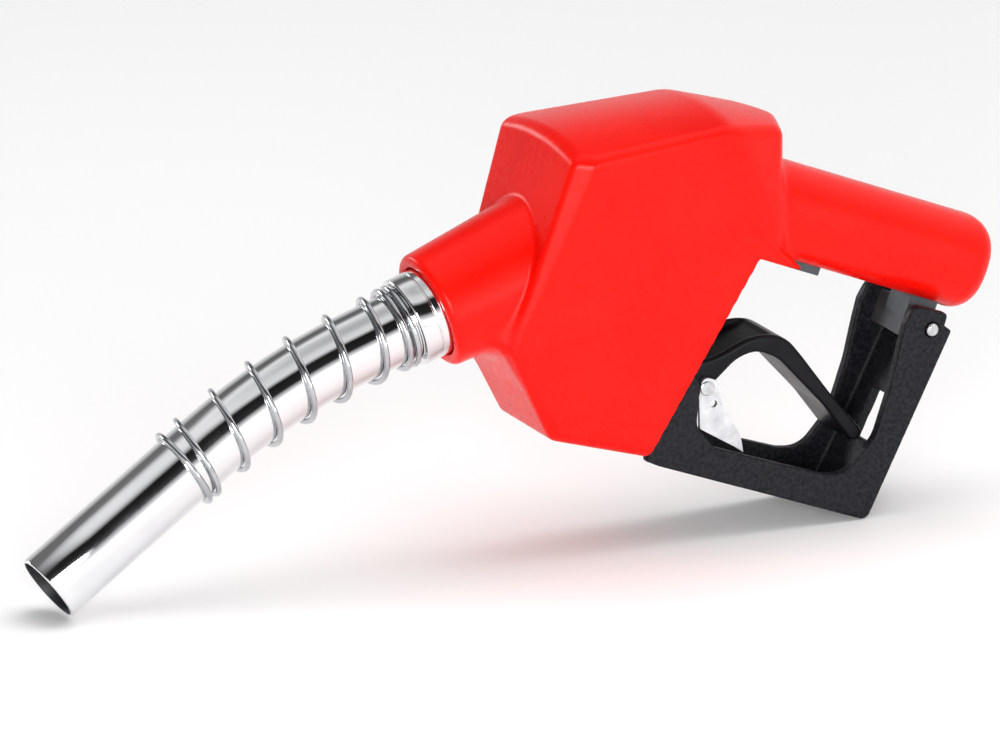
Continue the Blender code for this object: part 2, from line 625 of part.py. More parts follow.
def spout_group():
    """Bent spout with the vent line inside it and the wire spring round it."""
    solid(spout_sweep(-SPOUT_INSERT, SPOUT_TIP, SPOUT_OD / 2, SPOUT_OD / 2 - SPOUT_WALL, 24),
          "spout_tube", "polished_tube", SPOUT_BASE)
    solid(spout_sweep(0.4 - SPOUT_INSERT, SPOUT_TIP - 14, 2.1, 1.3, 8, VENT_DROP), "vent_tube",
          "brass", SPOUT_BASE)
    cage = on_spout_axis(16.5, CAGE_DROP)
    solid(washer(4.2, 3.0, SPOUT_UP, cage, 10.5, 16), "ball_cage", "nylon", cage)
    ball = bmesh.new()
    bmesh.ops.create_uvsphere(ball, u_segments=12, v_segments=8, radius=2.6)
    centre = on_spout_axis(20.0, CAGE_DROP)
    bmesh.ops.translate(ball, verts=ball.verts, vec=centre)
    solid(ball, "attitude_ball", "steel", centre)

    clear_of_tube = SPOUT_OD / 2 + GAP + SPRING_WIRE / 2
    mean = clear_of_tube / math.cos(math.pi / SPRING_STEPS)
    points = []
    for k in range(int(SPRING_PITCHES[-1][0] * SPRING_STEPS) + 1):
        turn = k / SPRING_STEPS
        s = spring_station(turn)
        centre, heading = spout_point(s)
        outward = heading.cross(SIDEWAYS)
        angle = math.radians(SPRING_PHASE) - 2 * math.pi * turn
        points.append(centre + mean * (math.cos(angle) * SIDEWAYS + math.sin(angle) * outward))
    solid(wire(points, SPRING_WIRE / 2, 5), "spout_spring", "bright_wire", SPOUT_BASE)


def spring_station(turn):
    """Distance down the spout of the spring's wire, from the pitch at each (turn, pitch) pair."""
    station = SPRING_START
    for (before, low), (after, high) in zip(SPRING_PITCHES, SPRING_PITCHES[1:]):
        if turn <= before:
            break
        reached = min(turn, after)
        pitch = low + (high - low) * (reached - before) / (after - before)
        station += (reached - before) * (low + pitch) / 2
    return station


# ---- lever, clip and guard ----------------------------------------------------------------------

def lever_group():
    """Forked squeeze lever on the plunger's pin, and the clip that can hold it open."""
    outline = [(-25.4, 1.6, 5.3), (-8, 1.6, 10), (14, 5.5, 10), (30, 10, 4), (36.3, 12.3, 2.5),
               (34.9, 18.3), (40.3, 28.5, 5), (46.5, 33.0, 4), (55.5, 32.4, 6), (78, 21.6),
               (93.5, 12.2, 2.4), (97, 16.2, 2.4), (78, 26.6), (64, 35.2, 8), (54.5, 40.6, 6),
               (43.1, 37.4, 10), (32.8, 27.4, 12), (18, 18.5, 12), (-8, 15), (-25.4, 12.4, 5.3)]
    pivot = (PLUNGER_U, 0, PIVOT_W)
    lever = solid(plate(outline, -LEVER_HALF, LEVER_HALF), "lever", "black_lever", pivot)
    channel = [(-30, 4.6), (-8, 4.6), (14, 8.5), (28.5, 12.7), (31.2, 15.5), (33.1, 19.3), (38.4, 29.6),
               (44, 34.4), (50, 38.5), (52, 46), (-30, 46)]
    cut(lever, plate(channel, -CHANNEL_HALF, CHANNEL_HALF))
    cut(lever, box((-30, -13), (-CHANNEL_HALF, CHANNEL_HALF), (-5, 10)))
    cut(lever, rod(2.3, SIDEWAYS, (PLUNGER_U, -20, PIVOT_W), 40, 14))
    rivet_hole = rod(1.9, SIDEWAYS, (CLIP_PIVOT[0], -20, CLIP_PIVOT[1]), 12, 12)
    spring_recess = rod(3.2, SIDEWAYS, (CLIP_PIVOT[0], -20, CLIP_PIVOT[1]), 10.6, 14)
    cut(lever, rivet_hole, spring_recess)

    clip_axis = (CLIP_PIVOT[0], 0, CLIP_PIVOT[1])
    clip_outline = [(28.9, 20, 2.2), (30.2, 13), (34.7, 2.9, 0.8), (50, 0.3), (53.4, -0.6),
                    (50.3, 4.4), (38.8, 13.4, 3), (35.2, 20, 2.2)]
    clip = solid(plate(clip_outline, -13.9, -12.4), "hold_open_clip", "zinc_plate", clip_axis)
    cut(clip, rod(1.9, SIDEWAYS, (CLIP_PIVOT[0], -20, CLIP_PIVOT[1]), 12, 16))
    cut(clip, rod(1.3, SIDEWAYS, (36.3, -20, 12.2), 12, 12))
    rivet = [(0, -14.3), (2.3, -14.3), (2.6, -14.1), (1.6, -14.05), (1.6, -8.4), (0, -8.4)]
    solid(turned(rivet, SIDEWAYS, clip_axis, 16), "clip_rivet", "steel", clip_axis)
    spring_start = (CLIP_PIVOT[0], -12.0, CLIP_PIVOT[1])
    solid(coil_spring(SIDEWAYS, spring_start, 2.3, 2.5, 0.5, 3), "clip_spring", "bright_wire",
          spring_start)


def guard_group():
    """Black guard of two plates joined by webs, and its fixings."""
    outline = [(17, -11.9), (22, -12.3), (104.8, -10.7, 3), (110.9, 58.3, 0.8), (107.7, 59.2),
               (107.4, 63.4, 1.5), (94.5, 63.0, 3), (93.2, 56), (94.1, 48.6), (96.1, 35.4),
               (97, 17, 12), (91.5, 2.4, 10), (83, 0.3), (68.6, -0.4), (40, -1.2, 6),
               (30.8, 3.6, 6), (25.5, 20, 6), (-10, 24, 3), (-12, 36, 3), (-34, 36, 5), (-34, 22, 5),
               (-12, 0, 6), (14, -6.9), (16.7, -6.9)]
    inner = GUARD_HALF - GUARD_PLATE
    guard = solid(plate(outline, -GUARD_HALF, -inner), "lever_guard", "black_guard",
                  (GUARD_PIN[0], 0, GUARD_PIN[1]))
    join(guard, plate(outline, inner, GUARD_HALF))
    web = [(24, -12.0), (101.9, -10.5), (104.0, -7), (105.4, 9.5), (107.3, 31), (108.9, 49),
           (105.4, 49), (103.8, 31), (101.9, 9.5), (99.9, -5.5), (95.4, -7.2), (24, -8.4)]
    join(guard, plate(web, -inner - 1.5, inner + 1.5))
    cut(guard, box((99, 112), (-6.5, 6.5), (13, 28)))
    cut(guard, rod(2.6, SIDEWAYS, (GUARD_PIN[0], -25, GUARD_PIN[1]), 50, 16))
    solid(rod(2.25, SIDEWAYS, (GUARD_PIN[0], -19.4, GUARD_PIN[1]), 38.8, 16, 0.5), "guard_rear_pin",
          "steel", (GUARD_PIN[0], 0, GUARD_PIN[1]))
    for side, name in ((-1, "guard_screw_near"), (1, "guard_screw_far")):
        axis = SIDEWAYS * side
        seat = Vector((GUARD_SCREW[0], 0, GUARD_SCREW[1]))
        cut(guard, rod(1.9, axis, seat + axis * 10, 12, 12))
        cut(guard, rod(3.5, axis, seat + axis * 16.7, 5, 14))
        screw = [(0, 9), (1.5, 9), (1.5, 17), (3.2, 17), (3.2, 18.3), (0, 18.3)]
        solid(turned(screw, axis, seat, 12), name, "steel", seat + axis * 17)


def inlet_screen():
    """Conical strainer in the inlet."""
    profile = [(9.2, 0), (9.2, 2.5), (8.3, 2.5), (2.2, -14.5), (2.9, -14.9), (8.6, 0)]
    foot = (92.0, 0, HANDLE_W)
    solid(turned(profile, REARWARD, foot, 20), "inlet_screen", "brass", foot)


def build():
    for old in list(bpy.data.objects):
        bpy.data.objects.remove(old)
    body_casting()
    body_cover()
    main_valve()
    trip_mechanism()
    diaphragm_group()
    outlet_group()
    spout_group()
    lever_group()
    guard_group()
    inlet_screen()
    for piece in bpy.data.objects:
        stand(piece)


build()
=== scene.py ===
"""Automatic shut-off fuel nozzle: the finished look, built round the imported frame."""
import math

import bmesh
import bpy
import numpy as np
from mathutils import Matrix, Vector


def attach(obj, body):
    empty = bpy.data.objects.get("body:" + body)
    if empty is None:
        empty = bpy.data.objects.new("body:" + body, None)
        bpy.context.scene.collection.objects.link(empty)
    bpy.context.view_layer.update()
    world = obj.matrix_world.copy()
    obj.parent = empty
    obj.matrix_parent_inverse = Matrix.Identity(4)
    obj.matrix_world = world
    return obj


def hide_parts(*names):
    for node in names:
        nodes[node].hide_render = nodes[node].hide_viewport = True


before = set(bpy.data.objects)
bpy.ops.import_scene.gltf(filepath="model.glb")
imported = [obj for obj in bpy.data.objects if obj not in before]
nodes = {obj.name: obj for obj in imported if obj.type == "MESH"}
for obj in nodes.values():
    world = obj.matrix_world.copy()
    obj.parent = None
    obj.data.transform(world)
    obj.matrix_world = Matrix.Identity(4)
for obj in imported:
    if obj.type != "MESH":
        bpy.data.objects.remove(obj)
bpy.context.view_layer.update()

# The design frame of the CAD, in millimetres: u rearwards along the handle, y across, w up.
REST_TILT = 21.66
REST_ORIGIN = (29.97, 0.0, 47.86)
STAND = (Matrix.Translation(Vector(REST_ORIGIN) * 0.001)
         @ Matrix.Rotation(math.radians(REST_TILT), 4, "Y")
         @ Matrix.Scale(0.001, 4))
SLOPE = math.radians(40.4)
SPOUT_UP = Vector((math.cos(SLOPE), 0, math.sin(SLOPE)))
SPOUT_BASE = Vector((-70.0, 0, 13.6))
SPOUT_BEND = 16.5
SPOUT_BEND_RADIUS = 200.0
SPOUT_UPPER = 29.6
SPOUT_LOWER = 71.0
SPOUT_TIP = SPOUT_UPPER + math.radians(SPOUT_BEND) * SPOUT_BEND_RADIUS + SPOUT_LOWER
SIDEWAYS = Vector((0, 1, 0))
TUBE_RADIUS = 12.0
TUBE_BORE = 10.7
COLLAR_RADIUS = 19.7
COLLAR_FLARE = math.radians(3.5)
HANDLE_W = 79.4
HANDLE_END = 120.8
HANDLE_HALF_WIDTH = 16.5
HANDLE_HALF_HEIGHT = 15.9
LEVER_HALF_WIDTH = 12.0
CHANNEL_HALF_WIDTH = 9.8
PLUNGER_U = -20.0


# ---- surfaces from distance functions -----------------------------------------------------------

def round_max(a, b, r):
    """Intersection of two solids whose shared edge has radius r."""
    both = np.hypot(np.maximum(a + r, 0), np.maximum(b + r, 0))
    return np.minimum(np.maximum(a, b), -r) + both


def soft_max(a, b, k):
    """Intersection of two solids whose shared edge is eased over about k."""
    h = np.maximum(k - np.abs(a - b), 0) / k
    return np.maximum(a, b) + h * h * k / 4


def soft_min(a, b, k):
    """Union of two solids that flow into each other over about k."""
    h = np.maximum(k - np.abs(a - b), 0) / k
    return np.minimum(a, b) - h * h * k / 4


def smoothstep(low, high, x):
    """0 at low, 1 at high, with a smooth rise between."""
    t = np.clip((x - low) / (high - low), 0, 1)
    return t * t * (3 - 2 * t)


def half_space(a, b, c, d):
    """Signed distance to the plane a u + b y + c w = d, as a function."""
    size = math.sqrt(a * a + b * b + c * c)
    return lambda u, y, w: (a * u + b * y + c * w - d) / size


def fillet(corners, steps=10):
    """Replace each (u, w, radius) corner of an outline by an arc."""
    outline = []
    for i, corner in enumerate(corners):
        here = Vector(corner[:2])
        if len(corner) == 2:
            outline.append(here)
            continue
        before = (Vector(corners[i - 1][:2]) - here).normalized()
        after = (Vector(corners[(i + 1) % len(corners)][:2]) - here).normalized()
        half = before.angle(after) / 2
        reach = corner[2] / math.tan(half)
        centre = here + (before + after).normalized() * corner[2] / math.sin(half)
        start = here + before * reach - centre
        turn = start.angle_signed(here + after * reach - centre)
        for k in range(steps + 1):
            outline.append(centre + start @ Matrix.Rotation(turn * k / steps, 2))
    return [(p[0], p[1]) for p in outline]


def outline_distance(outline):
    """Signed distance to a closed outline in the u-w plane, as a function."""
    def distance(u, w):
        nearest = np.inf
        inside = False
        for (x0, z0), (x1, z1) in zip(outline, outline[1:] + outline[:1]):
            ex, ez = x1 - x0, z1 - z0
            pu, pw = u - x0, w - z0
            t = np.clip((pu * ex + pw * ez) / max(ex * ex + ez * ez, 1e-9), 0, 1)
            nearest = np.minimum(nearest, (pu - ex * t) ** 2 + (pw - ez * t) ** 2)
            if z0 != z1:
                crosses = ((z0 <= w) != (z1 <= w)) & (pu < pw * ex / ez)
                inside = inside ^ crosses
        return np.where(inside, -1, 1) * np.sqrt(nearest)
    return distance


def surface(f, low, high, step):
    """Quads of the surface f = 0 inside a box, each vertex moved onto the surface."""
    low = np.array(low, float)
    count = [int(math.ceil((h - l) / step)) + 1 for l, h in zip(low, high)]
    u, y, w = (low[k] + step * np.arange(count[k]) for k in range(3))
    field = f(u[:, None, None], y[None, :, None], w[None, None, :])
    field = np.array(np.broadcast_to(field, count), float)
    inside = field < 0
    total = np.zeros([n - 1 for n in count], np.int8)
    for i in (0, 1):
        for j in (0, 1):
            for k in (0, 1):
                total += inside[i:count[0] - 1 + i, j:count[1] - 1 + j, k:count[2] - 1 + k]
    active = (total > 0) & (total < 8)
    cells = np.argwhere(active)
    number = np.full(active.shape, -1)
    number[active] = np.arange(len(cells))
    place = np.zeros((len(cells), 3))
    hits = np.zeros(len(cells))
    for axis in range(3):
        others = [k for k in range(3) if k != axis]
        for i in (0, 1):
            for j in (0, 1):
                start = cells.copy()
                start[:, others[0]] += i
                start[:, others[1]] += j
                end = start.copy()
                end[:, axis] += 1
                a, b = field[tuple(start.T)], field[tuple(end.T)]
                crossed = (a < 0) != (b < 0)
                share = np.where(crossed, a / np.where(crossed, a - b, 1), 0)
                point = start.astype(float)
                point[:, axis] += share
                place += np.where(crossed[:, None], point, 0)
                hits += crossed
    points = low + step * place / hits[:, None]
    quads = []
    for d in range(3):
        e, g = (d + 1) % 3, (d + 2) % 3
        first = [slice(None)] * 3
        second = [slice(None)] * 3
        for k in (e, g):
            first[k] = second[k] = slice(1, -1)
        first[d], second[d] = slice(0, -1), slice(1, None)
        a, b = inside[tuple(first)], inside[tuple(second)]
        edge = np.argwhere(a != b)
        outward = a[tuple(edge.T)]
        edge[:, e] += 1
        edge[:, g] += 1
        ring = []
        for de, dg in ((-1, -1), (0, -1), (0, 0), (-1, 0)):
            cell = edge.copy()
            cell[:, e] += de
            cell[:, g] += dg
            ring.append(number[tuple(cell.T)])
        quad = np.stack(ring, 1)
        quad[~outward] = quad[~outward][:, ::-1]
        quads.append(quad)
    quads = np.concatenate(quads)
    points = settle(f, points, step, 3)
    edges = np.concatenate([quads[:, [0, 1]], quads[:, [1, 2]], quads[:, [2, 3]], quads[:, [3, 0]]])
    for _ in range(3):
        near = np.zeros_like(points)
        for k in range(3):
            near[:, k] = np.bincount(edges[:, 0], points[edges[:, 1], k], len(points))
            near[:, k] += np.bincount(edges[:, 1], points[edges[:, 0], k], len(points))
        met = np.bincount(edges.ravel(), minlength=len(points))
        points = settle(f, points * 0.4 + 0.6 * near / met[:, None], step, 1)
    return settle(f, points, step, 2), quads


def settle(f, points, step, rounds):
    """Move points onto the surface f = 0."""
    for _ in range(rounds):
        value, slope = f(*points.T), gradient(f, points)
        move = np.clip(value / np.maximum((slope ** 2).sum(1), 0.05), -step / 2, step / 2)
        points = points - slope * move[:, None]
    return points


def gradient(f, points, h=0.12):
    """Slope of f at each point."""
    slope = np.zeros_like(points)
    for k in range(3):
        ahead, behind = points.copy(), points.copy()
        ahead[:, k] += h
        behind[:, k] -= h
        slope[:, k] = (f(*ahead.T) - f(*behind.T)) / (2 * h)
    return slope


def sculpt(name, f, low, high, step):
    """Object whose skin is the surface f = 0, shaded with the slope of f."""
    points, quads = surface(f, low, high, step)
    mesh = bpy.data.meshes.new(name)
    mesh.from_pydata(points.tolist(), [], quads.tolist())
    made = bpy.data.objects.new(name, mesh)
    bpy.context.scene.collection.objects.link(made)
    places = np.zeros(len(mesh.vertices) * 3)
    mesh.vertices.foreach_get("co", places)
    normals = gradient(f, places.reshape(-1, 3))
    normals /= np.maximum(np.linalg.norm(normals, axis=1), 1e-6)[:, None]
    turn = np.array(STAND.to_3x3()) * 1000
    mesh.transform(STAND)
    mesh.polygons.foreach_set("use_smooth", [True] * len(mesh.polygons))
    mesh.normals_split_custom_set_from_vertices((normals @ turn.T).tolist())
    return made


# ---- turned and swept pieces --------------------------------------------------------------------

def loop_mesh(name, rings, closed):
    """Skin a list of rings of equal length; closed joins the last ring to the first."""
    bm = bmesh.new()
    skin = [[bm.verts.new(p) for p in ring] for ring in rings]
    pairs = list(zip(skin, skin[1:])) + ([(skin[-1], skin[0])] if closed else [])
    for one, two in pairs:
        for k in range(len(one)):
            n = (k + 1) % len(one)
            bm.faces.new((one[k], one[n], two[n], two[k]))
    if not closed:
        bm.faces.new(skin[0])
        bm.faces.new(skin[-1])
    bmesh.ops.recalc_face_normals(bm, faces=bm.faces)
    mesh = bpy.data.meshes.new(name)
    bm.to_mesh(mesh)
    bm.free()
    mesh.transform(STAND)
    made = bpy.data.objects.new(name, mesh)
    bpy.context.scene.collection.objects.link(made)
    mesh.polygons.foreach_set("use_smooth", [True] * len(mesh.polygons))
    mesh.set_sharp_from_angle(angle=math.radians(38))
    return made


def spout_point(s):
    """Point and direction on the centreline, s millimetres down the spout from the collar's lip."""
    down = -SPOUT_UP
    if s <= SPOUT_UPPER:
        return SPOUT_BASE + down * s, down
    arc = math.radians(SPOUT_BEND) * SPOUT_BEND_RADIUS
    angle = min(s - SPOUT_UPPER, arc) / SPOUT_BEND_RADIUS
    inward = down.cross(SIDEWAYS)
    if inward.z > 0:
        inward = -inward
    start = SPOUT_BASE + down * SPOUT_UPPER
    heading = down * math.cos(angle) + inward * math.sin(angle)
    chord = down * math.sin(angle) + inward * (1 - math.cos(angle))
    return start + chord * SPOUT_BEND_RADIUS + heading * max(0, s - SPOUT_UPPER - arc), heading


def ring_at(s, radius, count):
    """Ring of points round the spout's centreline at station s."""
    centre, heading = spout_point(s)
    second = heading.cross(SIDEWAYS)
    turns = [2 * math.pi * k / count for k in range(count)]
    return [centre + radius * (math.cos(a) * SIDEWAYS + math.sin(a) * second) for a in turns]


def revolved(name, profile, count=96, extra=()):
    """Closed (station, radius) profile swept round the spout's centreline, cut at the extra stations."""
    rings = []
    for (s0, r0), (s1, r1) in zip(profile, profile[1:] + profile[:1]):
        rings.append(ring_at(s0, r0, count))
        inner = [s for s in extra if min(s0, s1) < s < max(s0, s1)]
        for s in sorted(inner, reverse=s1 < s0):
            rings.append(ring_at(s, r0 + (r1 - r0) * (s - s0) / (s1 - s0), count))
    return loop_mesh(name, rings, True)


def swept_wire(name, points, radius, sides):
    """Round wire along a list of points, with rounded ends."""
    stations = [(points[0], 0.35), (points[0], 0.8)] + [(p, 1.0) for p in points[1:-1]]
    stations += [(points[-1], 0.8), (points[-1], 0.35)]
    rings = []
    side = None
    for i, (point, share) in enumerate(stations):
        k = min(max(i - 1, 0), len(points) - 1)
        ahead = (points[min(k + 1, len(points) - 1)] - points[max(k - 1, 0)]).normalized()
        shift = 0.0
        if i == 0:
            shift = -0.25 * radius
        if i == len(stations) - 1:
            shift = 0.25 * radius
        if side is None:
            side = ahead.cross(SIDEWAYS + Vector((0.1, 0, 0))).normalized()
        side = (side - ahead * side.dot(ahead)).normalized()
        other = ahead.cross(side)
        turns = [2 * math.pi * a / sides for a in range(sides)]
        rings.append([point + ahead * shift + radius * share * (math.cos(a) * side + math.sin(a) * other)
                      for a in turns])
    return loop_mesh(name, rings, False)


# ---- materials ----------------------------------------------------------------------------------

class Nodes:
    """Small helper that adds and links shader nodes."""

    def __init__(self, name):
        self.material = bpy.data.materials.new(name)
        self.material.use_nodes = True
        self.tree = self.material.node_tree
        self.shader = self.tree.nodes["Principled BSDF"]

    def add(self, kind, **settings):
        """New node; each setting is one of its attributes or, failing that, an input."""
        made = self.tree.nodes.new(kind)
        for key, value in settings.items():
            if hasattr(made, key):
                setattr(made, key, value)
            else:
                made.inputs[key].default_value = value
        return made

    def link(self, source, target):
        self.tree.links.new(source, target)

    def noise(self, scale, detail):
        """Noise in the object's own coordinates, scale to the metre."""
        where = self.add("ShaderNodeTexCoord")
        noise = self.add("ShaderNodeTexNoise", Scale=scale, Detail=detail, Distortion=0.0)
        self.link(where.outputs["Object"], noise.inputs["Vector"])
        return noise.outputs["Fac"]

    def spread(self, source, low, high, start=0.3, end=0.7):
        """Map start..end of the source to low..high."""
        spread = self.add("ShaderNodeMapRange")
        spread.inputs["From Min"].default_value = start
        spread.inputs["From Max"].default_value = end
        spread.inputs["To Min"].default_value = low
        spread.inputs["To Max"].default_value = high
        self.link(source, spread.inputs["Value"])
        return spread.outputs["Result"]

    def between(self, source, dark, light):
        """Colour from dark at 0 to light at 1."""
        mix = self.add("ShaderNodeMix", data_type="RGBA")
        mix.inputs[6].default_value = (*dark, 1)
        mix.inputs[7].default_value = (*light, 1)
        self.link(source, mix.inputs[0])
        return mix.outputs[2]

    def bump(self, source, distance, under=None):
        """Relief of that depth in metres, on top of another relief if given."""
        bump = self.add("ShaderNodeBump", Strength=1.0, Distance=distance)
        self.link(source, bump.inputs["Height"])
        if under is not None:
            self.link(under, bump.inputs["Normal"])
        return bump.outputs["Normal"]


def make_material(name, dark, light, metallic, rough, blotch, grain, relief, waviness=None, detail=4.0,
                  speckled=False, **extra):
    """Principled material with uneven colour and gloss and a fine relief.

    blotch and grain are the scales of the broad and the fine noise, relief the depth of the fine
    one in metres. waviness is the (scale, depth) of slow waves below it. The colour follows the
    broad noise, or the fine one if speckled. extra holds further inputs of the shader.
    """
    n = Nodes(name)
    n.shader.inputs["Metallic"].default_value = metallic
    for key, value in extra.items():
        n.shader.inputs[key.replace("_", " ")].default_value = value
    broad = n.noise(blotch, 4.0)
    fine = n.noise(grain, detail)
    spots = n.spread(fine, 0, 1, 0.38, 0.66) if speckled else n.spread(broad, 0, 1)
    n.link(n.between(spots, dark, light), n.shader.inputs["Base Color"])
    both = n.add("ShaderNodeMath", operation="MULTIPLY_ADD")
    n.link(fine, both.inputs[0])
    both.inputs[1].default_value = 0.6
    n.link(broad, both.inputs[2])
    n.link(n.spread(both.outputs[0], *rough, start=0.45, end=1.15), n.shader.inputs["Roughness"])
    under = None
    if waviness:
        under = n.bump(n.noise(waviness[0], 1.5), waviness[1])
    n.link(n.bump(fine, relief, under=under), n.shader.inputs["Normal"])
    return n.material


vinyl = make_material("red_vinyl", (0.74, 0.003, 0.001), (0.84, 0.006, 0.002), 0, (0.25, 0.30), 38, 260,
                      0.0000012, waviness=(24, 0.00010), detail=1.0, Specular_IOR_Level=0.15)
guard_black = make_material("black_guard", (0.0035, 0.004, 0.006), (0.017, 0.0175, 0.022), 0, (0.44, 0.60),
                            140, 750, 0.00022, speckled=True, Specular_IOR_Level=0.18)
lever_black = make_material("black_lever", (0.004, 0.004, 0.0055), (0.008, 0.008, 0.010), 0, (0.28, 0.40),
                            90, 900, 0.00002, Specular_IOR_Level=0.14)
chrome = make_material("polished_tube", (0.80, 0.81, 0.82), (0.86, 0.86, 0.87), 1, (0.05, 0.11), 60, 1600,
                       0.0000015)
# Near-black finish for the spout's bore: painted shade for the dark inside of the tube.
painted_shade_bore = make_material("spout_bore_painted_shade", (0.035, 0.036, 0.038), (0.075, 0.077, 0.08), 0.8, (0.4, 0.6), 200, 1200,
                     0.00002)
wire_chrome = make_material("bright_wire", (0.46, 0.47, 0.49), (0.60, 0.61, 0.63), 1, (0.10, 0.18), 150,
                            1800, 0.000004)
cast = make_material("cast_aluminium", (0.055, 0.06, 0.066), (0.10, 0.106, 0.115), 0.6, (0.42, 0.60), 140,
                     1100, 0.00011)
zinc = make_material("zinc_plate", (0.56, 0.58, 0.60), (0.74, 0.76, 0.78), 0.85, (0.24, 0.40), 260, 900,
                     0.00001)
steel = make_material("steel", (0.50, 0.51, 0.52), (0.66, 0.67, 0.68), 1, (0.20, 0.34), 220, 1700, 0.00001)
brass = make_material("brass", (0.50, 0.34, 0.12), (0.66, 0.47, 0.19), 1, (0.22, 0.38), 200, 1500, 0.00001)
rubber = make_material("rubber", (0.012, 0.012, 0.012), (0.024, 0.024, 0.024), 0, (0.6, 0.85), 150, 1300,
                       0.00003)
nylon = make_material("nylon", (0.62, 0.60, 0.52), (0.74, 0.72, 0.64), 0, (0.4, 0.55), 150, 1300, 0.00001)
BY_SLOT = {"red_vinyl": vinyl, "black_guard": guard_black, "black_lever": lever_black,
           "polished_tube": chrome, "bright_wire": wire_chrome, "cast_aluminium": cast, "zinc_plate": zinc,
           "steel": steel, "brass": brass, "rubber": rubber, "nylon": nylon}


def place(made, body, slot, *replaced):
    """Give a piece its finish, its body and the CAD nodes it stands for."""
    made.data.materials.clear()
    made.data.materials.append(BY_SLOT[slot])
    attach(made, body)
    if replaced:
        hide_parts(*replaced)
    return made


# ---- the vinyl cover ----------------------------------------------------------------------------

PLANES = {
    "front": half_space(-1.0, 0.0, -0.068, 48.0),
    "corner": half_space(-0.466, 0.885, -0.099, 41.1),
    "side": half_space(0.1417, 1.0, -0.1118, 15.8),
    "boat tail": half_space(0.393, 1.0, 0.157, 44.2),
    "rear": half_space(0.9278, 0.364, 0.373, 68.0),
    "top": half_space(-0.4526, 0.0, 1.0, 106.6),
    "rear top": half_space(-0.10, 0.0, 1.0, 106.3),
    "front low": half_space(-0.632, 0.0, -0.774, 22.3),
    "bottom": half_space(0.111, 0.0, -0.994, 10.6),
}
SKIRT = outline_distance(fillet([(-52, 12, 3), (-35, -0.6), (-20.5, -13.9, 5), (30, -9.1), (48, 64.4),
                                 (10, 80), (-40, 70), (-48, 40)]))
BEHIND_SKIRT = outline_distance([(16, -30), (16, -10.4), (30.2, 63.6), (140, 63.6), (140, -30)])
COVER_WALL = 2.0


def housing(u, y, w):
    swell = 0.00018 * ((u + 5) ** 2 + (w - 50) ** 2) - 0.2
    crown = 0.0042 * y ** 2
    form = soft_max(PLANES["side"](u, y, w) + swell, PLANES["boat tail"](u, y, w), 0.8)
    form = soft_max(form, PLANES["corner"](u, y, w), 0.5)
    form = soft_max(form, PLANES["front"](u, y, w) + 0.0007 * y ** 2, 1.6)
    form = soft_max(form, PLANES["rear"](u, y, w), 2.0)
    form = soft_max(form, PLANES["front low"](u, y, w), 1.5)
    form = round_max(form, PLANES["bottom"](u, y, w), 3)
    lid = soft_max(PLANES["top"](u, y, w) + crown, PLANES["rear top"](u, y, w) + crown, 0.9)
    return round_max(form, lid, 3.4)


def skirt(u, y, w):
    return round_max(SKIRT(u, w), y - 21.3, 4.0)


def handle(u, y, w):
    n = 2 / 0.85
    across = (np.abs(y) / HANDLE_HALF_WIDTH) ** n + (np.abs(w - HANDLE_W) / HANDLE_HALF_HEIGHT) ** n
    section = (across ** (1 / n) - 1) * 16.2
    return round_max(round_max(section, u - HANDLE_END, 8.5), 6 - u, 1)


def along_spout(u, y, w):
    """Height above the collar's lip, distance from the spout's axis, and height across it."""
    du, dw = u - SPOUT_BASE.x, w - SPOUT_BASE.z
    height = du * SPOUT_UP.x + dw * SPOUT_UP.z
    across = -du * SPOUT_UP.z + dw * SPOUT_UP.x
    return height, np.hypot(across, y), across


def cover(u, y, w):
    y = np.abs(y)
    height, radius, across = along_spout(u, y, w)
    collar = (radius - COLLAR_RADIUS - height * math.tan(COLLAR_FLARE)) * math.cos(COLLAR_FLARE)
    collar = round_max(round_max(collar, -height, 2.2), height - 46, 1)
    main = soft_min(housing(u, y, w), skirt(u, y, w), 2.0)
    blend = 0.9 + 5.1 * smoothstep(4, -12, across)
    outer = soft_min(soft_min(main, collar, blend), handle(u, y, w), 4)
    hollow = np.minimum(np.minimum(housing(u, y, w), skirt(u, y, w)), handle(u, y, w)) + COVER_WALL
    shell = round_max(outer, -hollow, 0.3)
    mouth = np.maximum(np.maximum(radius - 15.75, -6 - height), height - 50)
    shell = round_max(shell, -mouth, 0.8)
    inlet = np.maximum(np.hypot(y, w - HANDLE_W) - 12.6, 100 - u)
    shell = round_max(shell, -inlet, 1.0)
    slot = np.maximum(np.maximum(y - 7.8, np.abs(u - 64.5) - 46.5), np.abs(w - 63) - 7)
    shell = round_max(shell, -slot, 0.6)
    return round_max(shell, -BEHIND_SKIRT(u, w), 0.7)


COVER_STEP = 1.0
vinyl_cover = sculpt("vinyl_cover", cover, (-87, -34, -22), (125, 34, 116), COVER_STEP)
place(vinyl_cover, "body", "red_vinyl", "body_cover")

# ---- lever --------------------------------------------------------------------------------------

LEVER = outline_distance(fillet([
    (-25.4, 1.6, 5.3), (-8, 1.6, 10), (14, 5.5, 10), (30, 10, 4), (36.3, 12.3, 2.5), (34.9, 18.3, 3),
    (40.3, 28.5, 14), (46.5, 33.0, 10), (55.5, 32.4, 16), (78, 21.6, 20), (93.5, 12.2, 2.4),
    (97, 16.2, 2.4), (78, 26.6, 20), (64, 35.2, 25), (54.5, 40.6, 14), (43.1, 37.4, 22),
    (32.8, 27.4, 25), (18, 18.5, 25),
    (-8, 15), (-25.4, 12.4, 5.3)]))
CHANNEL = outline_distance(fillet([
    (-34, 4.6), (-8, 4.6), (14, 8.5), (28.5, 12.7, 2), (31.2, 15.5, 2), (33.1, 19.3, 4), (38.4, 29.6, 4),
    (44, 34.4, 4), (50, 38.5, 3), (52, 46), (-34, 46)]))


